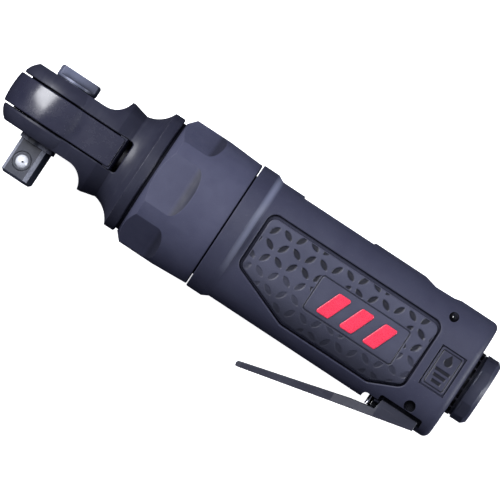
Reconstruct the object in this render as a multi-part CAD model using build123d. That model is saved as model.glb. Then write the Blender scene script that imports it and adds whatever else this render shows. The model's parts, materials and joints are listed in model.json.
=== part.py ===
from build123d import *
import os
from math import acos, cos, pi, radians, sin, tan, sqrt

# A small air ratchet with a 3/8 inch square drive. All lengths are in millimetres.
# X runs along the tool, from the drive axis at x = 0 back to the air inlet. +Y points to the
# reversing knob, so the square drive and the throttle lever are on the -Y side. Z is the depth,
# and the tool lies on its -Z side. Every piece is modelled about the tool's own axis, and the
# whole set is moved at the end so that the origin is at the centre of its underside.

# ---- driving dimensions: head ----
YOKE_RADIUS = 17.0
YOKE_HALF = 5.2
YOKE_CROWN = 0.4
YOKE_TAIL_HALF_WIDTH = 15.0
YOKE_REAR = 22.5
YOKE_SWING = 7.0
YOKE_REACH = 27.0
YOKE_HEEL = (10.4, 12.4, 14.4)
WEAR_FACE = 5.575
WEAR_RADIUS = 12.9
WEAR_TAIL = (21.0, 11.4)
RING_TEETH = 40
RING_TIP = 10.25
RING_ROOT = 11.15

HEAD_HALF = 10.4
HEAD_PLAN_RADIUS = 15.9
HEAD_BEVEL_RADIAL = 2.8
HEAD_BEVEL_AXIAL = 3.9
HEAD_BEVEL_BULGE = 0.35
BAR_RADIUS = 16.2
SLOT_HALF = 5.6
SLOT_REAR = 25.2
FORK_ROOT_X = 11.25
FORK_ROOT_RADIUS = 6.6
FLANGE_RADIUS = 20.7
EDGE_BREAK = 0.3
YOKE_EDGE = 0.5
YOKE_END_ROUND = 0.9
FLANGE_FRONT = 30.9
FLANGE_REAR = 34.5
BARREL_RADIUS = 18.2
BARREL_REAR = 48.5

# ---- driving dimensions: square drive ----
DRIVE_SQUARE = 9.53
DRIVE_CORNER = 1.2
DRIVE_END_BREAK = 0.85
DRIVE_END = -24.1
DRIVE_SHOULDER = -11.9
DRIVE_TURN = 14.5
JOURNAL_RADIUS = 6.25
DRUM_RADIUS = 10.1
DRUM_TOP = 8.0
BALL_RADIUS = 2.4
BALL_DEPTH = 1.3
BALL_Y = -18.3
STEM_RADIUS = 3.4
KNOB_RADIUS = 7.2
KNOB_TOP = 14.4
KNOB_FLAT = 3.74
PAWL_TILT = 8.0
KNOB_SWING = 64.0
PLUNGER_TURN = -DRIVE_TURN - KNOB_SWING / 2
PAWL_PIN_OFFSET = 6.2
PAWL_HALF = 4.1
RUNNING = 0.05

# ---- driving dimensions: crank and gears ----
BUSHING_FRONT = 15.0
BUSHING_REAR = 22.0
CRANK_THROW = (BUSHING_FRONT + BUSHING_REAR) / 2 * sin(radians(YOKE_SWING))
CRANK_PIN_RADIUS = 2.5
BUSHING_RADIUS = 4.5
CRANK_JOURNAL = 5.5
MODULE = 0.6
PRESSURE_ANGLE = radians(25)
SUN_TEETH = 12
PLANET_TEETH = 18
ANNULUS_TEETH = 48
FLANK_RELIEF = 0.04
PLANET_COUNT = 3
GEAR_FRONT = 40.2
GEAR_REAR = 47.2

# ---- driving dimensions: motor ----
MOTOR_RADIUS = 15.0
PLATE_FRONT = 50.6
CYLINDER_FRONT = 57.0
CYLINDER_REAR = 97.0
PLATE_REAR = 103.4
MOTOR_SEAT = 104.4
ROTOR_RADIUS = 10.3
CYLINDER_BORE = 11.6
CYLINDER_OFFSET = 1.2
VANE_COUNT = 5
DOWEL_RADIUS = 1.0
DOWEL_REACH = 6.0
DOWEL_Y = -12.8
INTAKE_Y = -9.0
EXHAUST_Y = 4.75
EXHAUST_Z = 8.2
ROTOR_SHAFT = 2.5

# ---- driving dimensions: clamp nut and housing ----
NUT_FRONT = 35.5
NUT_REAR = 62.5
NUT_RADIUS = 22.6
NUT_REAR_RADIUS = 21.95
NUT_BORE = 18.3
NUT_FLAT = 20.8
NUT_TURN = -4.0
RIM_FRONT = 62.8
RIM_REAR = 68.4
RIM_RADIUS = 22.4
BODY_FRONT = 70.6
BODY_REAR = 151.7
BODY_HALF_Y = 21.2
BODY_HALF_Z = 18.4
BODY_CORNER = 14.8
SPIGOT_FRONT = 49.2
PANEL_DEPTH = 1.1
PANEL_SINK = 0.25
PANEL_GROOVE = 0.7
POCKET_LIP = 0.4
GRIP_END_ROUND = 2.2

# ---- driving dimensions: throttle ----
LEVER_TIP = (89.4, -35.0)
LEVER_SLOPE = radians(13.2)
LEVER_REAR = 146.6
LEVER_PIVOT = (141.7, -15.5)
LEVER_PIN_RADIUS = 1.5
LEVER_THICKNESS = 2.6
LEVER_TIP_THICKNESS = 1.85
SADDLE_FRONT = 133.6
SADDLE_HALF = 11.5
SADDLE_TOP = -18.4
SADDLE_WALL = 1.6
SADDLE_CLEARANCE = 1.3
LEVER_EDGE = 0.25
LEVER_SWELL = 0.35
TONGUE_FRONT = 131.5
TONGUE_HALF = 9.4
VALVE_X = 130.4
VALVE_STEM_RADIUS = 0.95
VALVE_BORE = 3.0
VALVE_SEAT_Y = -5.0
VALVE_STEM_END = -22.4

# ---- driving dimensions: inlet ----
INLET_SEAT = 134.2
EXHAUST_FRONT = 140.2
INLET_BODY_RADIUS = 8.0
DEFLECTOR_RADIUS = 11.1
HEX_FRONT = 154.1
HEX_REAR = 159.2
HEX_ROUND = 11.4
HEX_APOTHEM = 11.0
HEX_TURN = -19.0
CROSS_PIN = (138.0, 15.3)
CROSS_PIN_RADIUS = 1.6
CROSS_PIN_BORE = 0.4
THREAD_RADIUS = 5.6
THREAD_LENGTH = 13.0


def rod_x(radius, start, end, y=0.0, z=0.0):
    """Cylinder along X."""
    return Pos((start + end) / 2, y, z) * Rot(0, 90, 0) * Cylinder(radius, end - start)


def rod_y(radius, start, end, x=0.0, z=0.0):
    """Cylinder along Y."""
    return Pos(x, (start + end) / 2, z) * Rot(90, 0, 0) * Cylinder(radius, end - start)


def rod_z(radius, start, end, x=0.0, y=0.0):
    """Cylinder along Z."""
    return Pos(x, y, (start + end) / 2) * Cylinder(radius, end - start)


def tube_x(outer, inner, start, end):
    """Ring along X."""
    return rod_x(outer, start, end) - rod_x(inner, start - 1, end + 1)


def tube_y(outer, inner, start, end, x=0.0, z=0.0):
    """Ring along Y."""
    return rod_y(outer, start, end, x, z) - rod_y(inner, start - 1, end + 1, x, z)


def block(x_range, y_range, z_range):
    """Box between two values on each axis."""
    spans = (x_range, y_range, z_range)
    middle = [(low + high) / 2 for low, high in spans]
    size = [high - low for low, high in spans]
    return Pos(*middle) * Box(*size)


def turned_x(points):
    """Solid turned about X from (x, radius) points."""
    return revolve(Face(Wire.make_polygon([(x, r, 0) for x, r in points], close=True)), Axis.X)


def turned_y(points):
    """Solid turned about Y from (radius, y) points."""
    return revolve(Face(Wire.make_polygon([(r, y, 0) for r, y in points], close=True)), Axis.Y)


def side_plate(points, half_width):
    """Prism of a side outline, given as (x, y) points, centred on z = 0."""
    outline = Face(Wire.make_polygon([(x, y, 0) for x, y in points], close=True))
    return extrude(outline, amount=half_width, both=True)


def rounded_pocket(x_range, y_range, radius, half_width):
    """Prism along Z of a rectangle with round corners."""
    width = x_range[1] - x_range[0]
    height = y_range[1] - y_range[0]
    middle = Pos((x_range[0] + x_range[1]) / 2, (y_range[0] + y_range[1]) / 2, 0)
    return extrude(middle * RectangleRounded(width, height, radius), half_width, both=True)


def about_drive(shape, angle):
    """Turn a shape about the drive axis."""
    return Rot(0, angle, 0) * shape


# ---- ratchet head ----
def ratchet_head():
    """Fork, neck, flange and threaded barrel, turned from one bar."""
    inner = HEAD_PLAN_RADIUS - HEAD_BEVEL_RADIAL
    shoulder = HEAD_HALF - HEAD_BEVEL_AXIAL
    slope = sqrt(HEAD_BEVEL_RADIAL**2 + HEAD_BEVEL_AXIAL**2)
    crest = (
        HEAD_PLAN_RADIUS - HEAD_BEVEL_RADIAL / 2 + HEAD_BEVEL_BULGE * HEAD_BEVEL_AXIAL / slope,
        HEAD_HALF - HEAD_BEVEL_AXIAL / 2 + HEAD_BEVEL_BULGE * HEAD_BEVEL_RADIAL / slope,
    )
    half_nose = [
        Line((0, 0), (HEAD_PLAN_RADIUS, 0)),
        Line((HEAD_PLAN_RADIUS, 0), (HEAD_PLAN_RADIUS, shoulder)),
        ThreePointArc((HEAD_PLAN_RADIUS, shoulder), crest, (inner, HEAD_HALF)),
        Polyline((inner, HEAD_HALF), (0, HEAD_HALF), (0, 0)),
    ]
    nose = revolve(make_face(half_nose), Axis.Y)
    nose += mirror(nose, Plane.XZ)
    ridge_x = FORK_ROOT_X + FORK_ROOT_RADIUS
    centre_y = HEAD_HALF + FORK_ROOT_RADIUS
    top = BAR_RADIUS + 5
    bar = rod_x(BAR_RADIUS, 0, ridge_x + 1)
    for side in (1, -1):
        low, high = sorted((side * HEAD_HALF, side * top))
        bar -= block((-1, FORK_ROOT_X), (low, high), (-top, top))
        bar -= rod_z(FORK_ROOT_RADIUS, -top, top, FORK_ROOT_X, side * centre_y)
    neck_lines = [
        Line((ridge_x, 0), (ridge_x, BAR_RADIUS)),
        Line((ridge_x, BAR_RADIUS), (18.9, BAR_RADIUS)),
        ThreePointArc((18.9, BAR_RADIUS), (21.2, 15.6), (23.9, 14.95)),
        ThreePointArc((23.9, 14.95), (27.9, 16.75), (FLANGE_FRONT, FLANGE_RADIUS)),
        Polyline(
            (FLANGE_FRONT, FLANGE_RADIUS),
            (FLANGE_REAR - 0.4, FLANGE_RADIUS),
            (FLANGE_REAR, FLANGE_RADIUS - 0.4),
            (FLANGE_REAR, 19.5),
            (NUT_FRONT - 0.1, 19.5),
            (NUT_FRONT - 0.1, BARREL_RADIUS),
            (BARREL_REAR, BARREL_RADIUS),
            (BARREL_REAR, 0),
            (ridge_x, 0),
        ),
    ]
    neck = revolve(make_face(neck_lines), Axis.X)
    head = nose + bar + neck
    head -= rounded_pocket((-30, SLOT_REAR), (-SLOT_HALF, SLOT_HALF), 1.0, 25)

    def slot_edge(edge):
        return all(abs(abs((edge @ place).Y) - SLOT_HALF) < 0.01 for place in (0, 0.5, 1))

    head = chamfer(head.edges().filter_by(slot_edge), EDGE_BREAK)
    heel_space = rod_y(YOKE_REACH + 0.3, -SLOT_HALF, SLOT_HALF)
    head -= heel_space & block((20, 30), (-SLOT_HALF, SLOT_HALF), (-BAR_RADIUS, BAR_RADIUS))
    head -= rod_y(DRUM_RADIUS + RUNNING, 0, 12)
    head -= rod_y(DRUM_RADIUS + 0.9, 9.05, 9.95)
    head -= rod_y(JOURNAL_RADIUS + RUNNING, -12, 0)
    head -= rod_x(7.2, 14.0, 28.0)
    head -= rod_x(9.5, 27.2, 36.0)
    head -= rod_x(13.4, 35.4, GEAR_FRONT - 1.0)
    head -= rod_x(16.5, GEAR_FRONT - 1.1, BARREL_REAR + 1)
    return head


# ---- yoke and pawl ----
def yoke_heel(side):
    """Heel behind one prong of the yoke's tail, round about the drive axis."""
    low, high, top = YOKE_HEEL
    reach = sqrt(YOKE_REACH**2 - high**2)
    corner = sqrt(YOKE_REACH**2 - top**2)
    middle = (high + top) / 2
    inner = YOKE_REAR - 2
    rear_arc = ThreePointArc(
        (reach, 0, side * high),
        (sqrt(YOKE_REACH**2 - middle**2), 0, side * middle),
        (corner, 0, side * top),
    )
    rest = Polyline(
        (corner, 0, side * top),
        (inner, 0, side * top),
        (inner, 0, side * (low - 0.6)),
        (YOKE_REAR, 0, side * (low - 0.6)),
        (reach, 0, side * low),
        (reach, 0, side * high),
    )
    return extrude(make_face([rear_arc, rest]), amount=WEAR_FACE, both=True, dir=(0, 1, 0))


def ratchet_yoke():
    """Toothed ring that swings on the drive axis, with a forked tail round the drive bushing."""
    blend = 7.0
    edge = YOKE_RADIUS - YOKE_CROWN
    crowned = [
        Polyline((edge, -YOKE_HALF), (0, -YOKE_HALF), (0, YOKE_HALF), (edge, YOKE_HALF)),
        ThreePointArc((edge, YOKE_HALF), (YOKE_RADIUS, 0), (edge, -YOKE_HALF)),
    ]
    ring = revolve(make_face(crowned), Axis.Y)
    tail = block((0, YOKE_REAR), (-YOKE_HALF, YOKE_HALF), (-YOKE_TAIL_HALF_WIDTH, YOKE_TAIL_HALF_WIDTH))
    body = ring + tail
    creases = body.edges().filter_by(lambda e: abs(e.center().Y) < 0.1 and e.center().X < YOKE_REAR - 1)
    body = fillet(creases, blend)
    rear = body.edges().filter_by(Axis.Z).group_by(Axis.X)[-1]
    body = fillet(rear, YOKE_END_ROUND)

    def rim_edge(edge):
        return abs(abs(edge.center().Y) - YOKE_HALF) < 0.01

    body = fillet(body.edges().filter_by(rim_edge), YOKE_EDGE)
    wear_rear, wear_half = WEAR_TAIL
    body += rod_y(WEAR_RADIUS, -WEAR_FACE, WEAR_FACE)
    body += block((0, wear_rear), (-WEAR_FACE, WEAR_FACE), (-wear_half, wear_half))
    for side in (1, -1):
        body += yoke_heel(side)
    step = 2 * pi / RING_TEETH
    points = []
    for tooth in range(RING_TEETH):
        for radius, phase in ((RING_ROOT, 0.0), (RING_TIP, 0.5)):
            angle = (tooth + phase) * step
            points.append((radius * cos(angle), 0, radius * sin(angle)))
    star = Face(Wire.make_polygon(points, close=True))
    body -= extrude(star, amount=YOKE_HALF + 1, both=True, dir=(0, 1, 0))
    gap = BUSHING_RADIUS + CRANK_THROW + 0.2
    body -= block((13.6, YOKE_REAR + 1), (-YOKE_HALF - 1, YOKE_HALF + 1), (-gap, gap))
    return body


def pawl():
    """Two-way pawl that rocks on its pin, held just inside the ring's tooth tips."""
    radius = DRUM_RADIUS - 0.05
    pin_x = PAWL_PIN_OFFSET
    height = 2 * PAWL_HALF

    def about_pin(shape, angle):
        return Pos(pin_x, 0, 0) * Rot(0, angle, 0) * Pos(-pin_x, 0, 0) * shape

    shape = block((3.0, 11.0), (-PAWL_HALF, PAWL_HALF), (-7.1, 7.1))
    inner_edges = shape.edges().filter_by(Axis.Y).group_by(Axis.X)[0]
    shape = chamfer(inner_edges, 1.4)
    disc = rod_y(radius, -PAWL_HALF, PAWL_HALF)
    for angle in (PAWL_TILT, -PAWL_TILT):
        shape &= about_pin(disc, angle)
    relief = rod_y(STEM_RADIUS + 0.65, -height, height)
    for angle in (-PAWL_TILT, 0, PAWL_TILT):
        shape -= about_pin(relief, angle)
    step = 360 / RING_TEETH
    depth = RING_ROOT - RING_TIP
    notch = side_plate([(radius - depth, 0), (radius + 0.5, 0.75), (radius + 0.5, -0.75)], height)
    notch = Rot(90, 0, 0) * notch
    for side in (1, -1):
        for tooth in range(3):
            turn = side * (14 + tooth * step)
            shape -= about_pin(about_drive(notch, turn), side * PAWL_TILT)
    shape -= rod_y(1.2 + RUNNING, -height, height, pin_x)
    return about_pin(shape, PAWL_TILT)


# ---- square drive ----
def anvil():
    """Ratchet drum, lower journal and square drive in one piece."""
    half = DRIVE_SQUARE / 2
    drum = rod_y(DRUM_RADIUS, -5.5, DRUM_TOP)
    journal = rod_y(JOURNAL_RADIUS, DRIVE_SHOULDER, -5.0)
    square = block((-half, half), (DRIVE_END, DRIVE_SHOULDER + 1), (-half, half))
    square = chamfer(square.edges().filter_by(Axis.Y), DRIVE_CORNER)
    square = chamfer(square.edges().group_by(Axis.Y)[0], DRIVE_END_BREAK)
    body = drum + journal + square
    body -= block((1.6, 12), (-PAWL_HALF - 0.1, PAWL_HALF + 0.1), (-7.7, 7.7))
    body -= rod_y(STEM_RADIUS + RUNNING, -4.4, DRUM_TOP + 1)
    body -= rod_y(1.2, -5.2, 7.6, PAWL_PIN_OFFSET)
    centre = half - BALL_DEPTH
    body -= Pos(0, BALL_Y, centre) * Sphere(BALL_RADIUS + RUNNING)
    body -= rod_z(BALL_RADIUS + RUNNING, -3.4, centre, 0, BALL_Y)
    staking = rod_z(3.3, half - 0.2, half + 1, 0, BALL_Y) - rod_z(2.9, 0, half + 2, 0, BALL_Y)
    return body - staking


def drive_ball():
    """Detent ball that stands out of the square's front face."""
    return Pos(0, BALL_Y, DRIVE_SQUARE / 2 - BALL_DEPTH) * Sphere(BALL_RADIUS)


def coil_spring(radius, wire, length, turns):
    """Round-wire compression spring along Z, from z = 0."""
    path = Helix(pitch=(length - 2 * wire) / turns, height=length - 2 * wire, radius=radius)
    section = (path ^ 0) * Circle(wire)
    return Pos(0, 0, wire) * sweep(section, path=path, is_frenet=True)


def drive_ball_spring():
    """Spring behind the detent ball."""
    floor = -3.35
    length = DRIVE_SQUARE / 2 - BALL_DEPTH - BALL_RADIUS - floor - 0.1
    return Pos(0, BALL_Y, floor) * coil_spring(1.5, 0.25, length, 3)


def reverse_knob():
    """Round knob with two finger flats, on a stem that reaches down past the pawl."""
    base = 0.8
    disc = turned_y(
        [
            (0, HEAD_HALF + 0.3),
            (KNOB_RADIUS, HEAD_HALF + 0.3),
            (KNOB_RADIUS, KNOB_TOP - 0.6),
            (KNOB_RADIUS - 0.6, KNOB_TOP),
            (0, KNOB_TOP),
        ]
    )
    for side in (1, -1):
        low, high = sorted((side * KNOB_FLAT, side * 10))
        disc -= block((-10, 10), (HEAD_HALF + 0.3 + base, 20), (low, high))
    hub = rod_y(KNOB_RADIUS - 0.2, DRUM_TOP + 0.1, HEAD_HALF + 0.4)
    stem = rod_y(STEM_RADIUS, -4.2, DRUM_TOP + 0.2)
    plunger_way = about_drive(rod_x(1.05, -1.5, 5), PLUNGER_TURN)
    return disc + hub + stem - plunger_way


def detent_plunger():
    """Round-nosed plunger that presses on the back of the pawl."""
    return rod_x(1.0, 1.2, 2.75) + Pos(2.75, 0, 0) * Sphere(1.0)


def detent_spring():
    """Spring behind the plunger, inside the knob's stem."""
    return Pos(-1.45, 0, 0) * Rot(0, 90, 0) * coil_spring(0.75, 0.15, 2.6, 4)


def thrust_washer():
    """Flat washer on top of the drum."""
    return tube_y(DRUM_RADIUS - 0.05, 7.5, DRUM_TOP + 0.05, 9.0)


def retaining_ring():
    """Split ring sprung into the head's groove."""
    ring = tube_y(DRUM_RADIUS + 0.8, 8.2, 9.1, 9.9)
    return ring - block((-1.6, 1.6), (8, 11), (5, 14))


# ---- crank and planetary gears ----
def roll(angle):
    """Involute function."""
    return tan(angle) - angle


def gear_face(teeth, outer, root, relief):
    """Outline of an involute gear in the XY plane, with a tooth centred on +X."""
    pitch_radius = MODULE * teeth / 2
    base = pitch_radius * cos(PRESSURE_ANGLE)
    half = (pi * MODULE / 4 - relief) / pitch_radius + roll(PRESSURE_ANGLE)
    start = max(base, root)
    flank = [start + (outer - start) * step / 4 for step in range(5)]
    spread = [half - roll(acos(min(1.0, base / radius))) for radius in flank]

    def point(radius, angle):
        return (radius * cos(angle), radius * sin(angle), 0)

    edges = []
    pitch = 2 * pi / teeth
    for tooth in range(teeth):
        middle = tooth * pitch
        rising = [point(r, middle - s) for r, s in zip(flank, spread)]
        falling = [point(r, middle + s) for r, s in zip(flank, spread)][::-1]
        if root < base:
            edges.append(Edge.make_line(point(root, middle - spread[0]), rising[0]))
        edges.append(Edge.make_spline(rising))
        edges.append(Edge.make_three_point_arc(rising[-1], point(outer, middle), falling[0]))
        edges.append(Edge.make_spline(falling))
        if root < base:
            edges.append(Edge.make_line(falling[-1], point(root, middle + spread[0])))
        land = point(root, middle + pitch / 2)
        next_foot = point(root, middle + pitch - spread[0])
        edges.append(Edge.make_three_point_arc(point(root, middle + spread[0]), land, next_foot))
    return Face(Wire(edges))


def gear_x(face, start, end):
    """Gear prism along X, with the face's +X turned to -Z."""
    return Pos(start, 0, 0) * Rot(0, 90, 0) * extrude(face, amount=end - start)


def around_axis(shape, index):
    """Turn a shape about the tool's axis to one of the planet places."""
    return Rot(index * 360 / PLANET_COUNT, 0, 0) * shape


PLANET_ORBIT = MODULE * (SUN_TEETH + PLANET_TEETH) / 2


def ring_gear():
    """Fixed ring gear seated in the head's barrel."""
    pitch_radius = MODULE * ANNULUS_TEETH / 2
    face = gear_face(ANNULUS_TEETH, pitch_radius + 0.75, pitch_radius - MODULE, -FLANK_RELIEF)
    space = gear_x(face, GEAR_FRONT - 2, GEAR_REAR + 2)
    space = Rot(180 / ANNULUS_TEETH, 0, 0) * space
    return rod_x(16.5, GEAR_FRONT - 1.0, GEAR_REAR + 0.8) - space


def planet_gear(index):
    """Planet gear with a gap facing the sun and the ring."""
    pitch_radius = MODULE * PLANET_TEETH / 2
    face = gear_face(PLANET_TEETH, pitch_radius + MODULE, pitch_radius - 0.75, FLANK_RELIEF)
    gear = Rot(180 / PLANET_TEETH, 0, 0) * gear_x(face, GEAR_FRONT, GEAR_REAR)
    gear -= rod_x(2.0 + RUNNING, GEAR_FRONT - 1, GEAR_REAR + 1)
    return around_axis(Pos(0, 0, -PLANET_ORBIT) * gear, index)


def planet_pins():
    """Pins that carry the planet gears, fixed in the crankshaft's carrier disc."""
    pins = [
        around_axis(rod_x(2.0, 37.0, 48.8, z=-PLANET_ORBIT), index) for index in range(PLANET_COUNT)
    ]
    return pins[0] + pins[1] + pins[2]


def planet_retainer():
    """Plate behind the planet gears, on the ends of their pins."""
    plate = tube_x(12.6, 5.6, GEAR_REAR + 0.4, 48.8)
    for index in range(PLANET_COUNT):
        plate -= around_axis(rod_x(2.0, 45, 50, z=-PLANET_ORBIT), index)
    return plate


def sun_pinion():
    """Pinion on the rotor's front end."""
    pitch_radius = MODULE * SUN_TEETH / 2
    face = gear_face(SUN_TEETH, pitch_radius + MODULE, pitch_radius - 0.75, FLANK_RELIEF)
    return gear_x(face, GEAR_FRONT, 50.2) - rod_x(1.8, GEAR_FRONT - 1, 51)


def crankshaft():
    """Eccentric pin, web, journal and planet carrier disc in one piece."""
    pin = rod_x(CRANK_PIN_RADIUS, 14.8, 24.0, y=CRANK_THROW)
    web = rod_x(6.8, 23.7, 26.4)
    journal = rod_x(CRANK_JOURNAL, 26.0, 37.0)
    carrier = rod_x(12.6, 36.4, GEAR_FRONT - 0.4)
    shaft = pin + web + journal + carrier
    for index in range(PLANET_COUNT):
        shaft -= around_axis(rod_x(2.0, 37.0, 45, z=-PLANET_ORBIT), index)
    return shaft


def drive_bushing():
    """Crowned bushing that turns on the crank pin inside the yoke's tail."""
    crown = 0.35
    start, end = BUSHING_FRONT, BUSHING_REAR
    sleeve = turned_x(
        [
            (start, 0),
            (start, BUSHING_RADIUS - crown),
            (start + 1.5, BUSHING_RADIUS),
            (end - 1.5, BUSHING_RADIUS),
            (end, BUSHING_RADIUS - crown),
            (end, 0),
        ]
    )
    sleeve -= rod_x(CRANK_PIN_RADIUS + RUNNING, start - 1, end + 1)
    return Pos(0, CRANK_THROW, 0) * sleeve


def crank_bearing():
    """Needle bearing cup round the crankshaft's journal."""
    return tube_x(9.5, CRANK_JOURNAL + RUNNING, 27.3, 35.3)


# ---- air motor ----
def front_end_plate():
    """Front cover of the motor, with its bearing seat."""
    plate = rod_x(MOTOR_RADIUS, PLATE_FRONT, CYLINDER_FRONT)
    plate -= rod_x(6.5, PLATE_FRONT - 1, PLATE_FRONT + 4.4)
    return plate - rod_x(4.2, PLATE_FRONT, CYLINDER_FRONT + 1)


def rear_end_plate():
    """Rear cover of the motor, with its bearing seat and air ports."""
    plate = rod_x(MOTOR_RADIUS, CYLINDER_REAR, PLATE_REAR)
    plate -= rod_x(6.5, PLATE_REAR - 4.4, PLATE_REAR + 1)
    plate -= rod_x(3.4, CYLINDER_REAR - 1, PLATE_REAR)
    plate -= rod_x(1.6, CYLINDER_REAR - 1, PLATE_REAR + 1, y=INTAKE_Y)
    plate -= rod_x(DOWEL_RADIUS, CYLINDER_REAR - 1, CYLINDER_REAR + 3, y=DOWEL_Y)
    for side in (1, -1):
        plate -= rod_x(1.4, CYLINDER_REAR - 1, PLATE_REAR + 1, y=EXHAUST_Y, z=side * EXHAUST_Z)
    return plate


def ball_bearing(start, width):
    """Sealed ball bearing, as one ring."""
    return tube_x(6.5, ROTOR_SHAFT + RUNNING, start, start + width)


def cylinder():
    """Motor cylinder with an offset bore and exhaust slots."""
    body = rod_x(MOTOR_RADIUS, CYLINDER_FRONT, CYLINDER_REAR)
    body -= rod_x(CYLINDER_BORE, CYLINDER_FRONT - 1, CYLINDER_REAR + 1, y=CYLINDER_OFFSET)
    for place in range(4):
        middle = CYLINDER_FRONT + 8 + place * 8
        body -= block((middle - 1.5, middle + 1.5), (8, 20), (-6, 6))
    return body - rod_x(DOWEL_RADIUS, CYLINDER_REAR - DOWEL_REACH, CYLINDER_REAR + 1, y=DOWEL_Y)


def cylinder_dowel():
    """Dowel that keeps the cylinder and the rear plate in line."""
    return rod_x(DOWEL_RADIUS, CYLINDER_REAR - DOWEL_REACH, CYLINDER_REAR + 3, y=DOWEL_Y)


def rotor():
    """Slotted rotor on its shaft."""
    gap = 0.2
    body = rod_x(ROTOR_RADIUS, CYLINDER_FRONT + gap, CYLINDER_REAR - gap)
    body += rod_x(ROTOR_SHAFT, 50.4, PLATE_REAR - 0.2)
    body += rod_x(1.8, 41.0, 51.0)
    for index in range(VANE_COUNT):
        body -= Rot(index * 360 / VANE_COUNT, 0, 0) * vane_space(0.6)
    return body


def vane_space(half_thickness):
    """Slot or vane on the rotor's -Y side."""
    return block(
        (CYLINDER_FRONT, CYLINDER_REAR),
        (-ROTOR_RADIUS - 1, -5.0),
        (-half_thickness, half_thickness),
    )


def rotor_vanes():
    """Vanes, resting in their slots flush with the rotor."""
    limit = rod_x(ROTOR_RADIUS - 0.02, CYLINDER_FRONT + 0.3, CYLINDER_REAR - 0.3)
    vanes = [
        Rot(index * 360 / VANE_COUNT, 0, 0) * (vane_space(0.55) & limit) for index in range(VANE_COUNT)
    ]
    return Compound(children=vanes)


def motor_gasket():
    """Gasket between the rear end plate and the housing."""
    gasket = tube_x(MOTOR_RADIUS, 6.6, PLATE_REAR + 0.1, MOTOR_SEAT)
    gasket -= rod_x(1.6, PLATE_REAR - 1, MOTOR_SEAT + 1, y=INTAKE_Y)
    for side in (1, -1):
        gasket -= rod_x(1.4, PLATE_REAR - 1, MOTOR_SEAT + 1, y=EXHAUST_Y, z=side * EXHAUST_Z)
    return gasket


# ---- clamp nut and housing ----
def clamp_nut():
    """Clamp nut that joins the head to the motor housing, with six wrench flats."""
    nut = turned_x(
        [
            (NUT_FRONT, NUT_BORE),
            (NUT_FRONT, 20.0),
            (37.8, NUT_RADIUS),
            (50.0, NUT_RADIUS + 0.05),
            (NUT_REAR - 0.3, NUT_REAR_RADIUS),
            (NUT_REAR, NUT_REAR_RADIUS - 0.3),
            (NUT_REAR, NUT_BORE),
        ]
    )
    run_out = make_face(
        [
            Line((30, NUT_FLAT), (45.5, NUT_FLAT)),
            ThreePointArc((45.5, NUT_FLAT), (47.9, NUT_FLAT + 0.5), (49.8, NUT_FLAT + 2.2)),
            Polyline((49.8, NUT_FLAT + 2.2), (49.8, 30), (30, 30), (30, NUT_FLAT)),
        ]
    )
    cutter = extrude(run_out, amount=14, both=True)
    for index in range(6):
        nut -= Rot(90 + NUT_TURN + index * 60, 0, 0) * cutter
    return nut


def body_section(inset):
    """Outline of the housing's grip, moved in by an inset."""
    width = 2 * (BODY_HALF_Y - inset)
    depth = 2 * (BODY_HALF_Z - inset)
    return RectangleRounded(width, depth, BODY_CORNER - inset)


def body_prism(inset, start, end):
    """Housing grip as a prism along X."""
    face = Pos(start, 0, 0) * (Plane.YZ * body_section(inset))
    return extrude(face, amount=end - start, dir=(1, 0, 0))


def panel_outline(inset):
    """Grip panel outline, seen from +Z."""
    points = [
        (72.6 + inset, 11.7 - inset),
        (136.8 - inset, 11.7 - inset),
        (136.8 - inset, -11.6 + 0.6 * inset),
        (126.4 - 0.3 * inset, -16.4 + inset),
        (94.0 + 0.2 * inset, -16.4 + inset),
        (72.6 + inset, -8.2 + 0.6 * inset),
    ]
    return make_face(FilletPolyline(*points, radius=3.2 - inset, close=True))


def pocket_lip(edge):
    """Whether an edge is where a grip pocket meets the grip's outer surface."""
    middle = edge @ 0.5
    across = max(abs(middle.Y) - BODY_HALF_Y + BODY_CORNER, 0)
    deep = max(abs(middle.Z) - BODY_HALF_Z + BODY_CORNER, 0)
    on_surface = abs(sqrt(across**2 + deep**2) - BODY_CORNER) < 0.03
    return on_surface and 72.5 < middle.X < 136.9 and -16.5 < middle.Y < 11.8


def panel_shell(outline_inset, outer_inset, inner_inset, side):
    """Part of the grip between two insets, inside the panel outline, on one side."""
    shell = body_prism(outer_inset, 71, 150) - body_prism(inner_inset, 70, 151)
    prism = extrude(panel_outline(outline_inset), amount=side * 30)
    return shell & prism


def lever_tongue():
    """Tongue of the housing that reaches between the lever's cheeks, and the stop behind it."""
    stop = LEVER_REAR + RUNNING
    outline = [
        (TONGUE_FRONT, -17.1),
        (TONGUE_FRONT, -20.7),
        (140.0, -19.8),
        (stop, -18.3),
        (stop, -21.6),
        (148.6, -21.6),
        (148.6, -17.1),
    ]
    tongue = side_plate(outline, TONGUE_HALF) & body_prism(0, 125, 149.4)
    return tongue - block((TONGUE_FRONT - 1, SADDLE_FRONT + 1), (-23, -16), (-5.4, 5.4))


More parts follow.
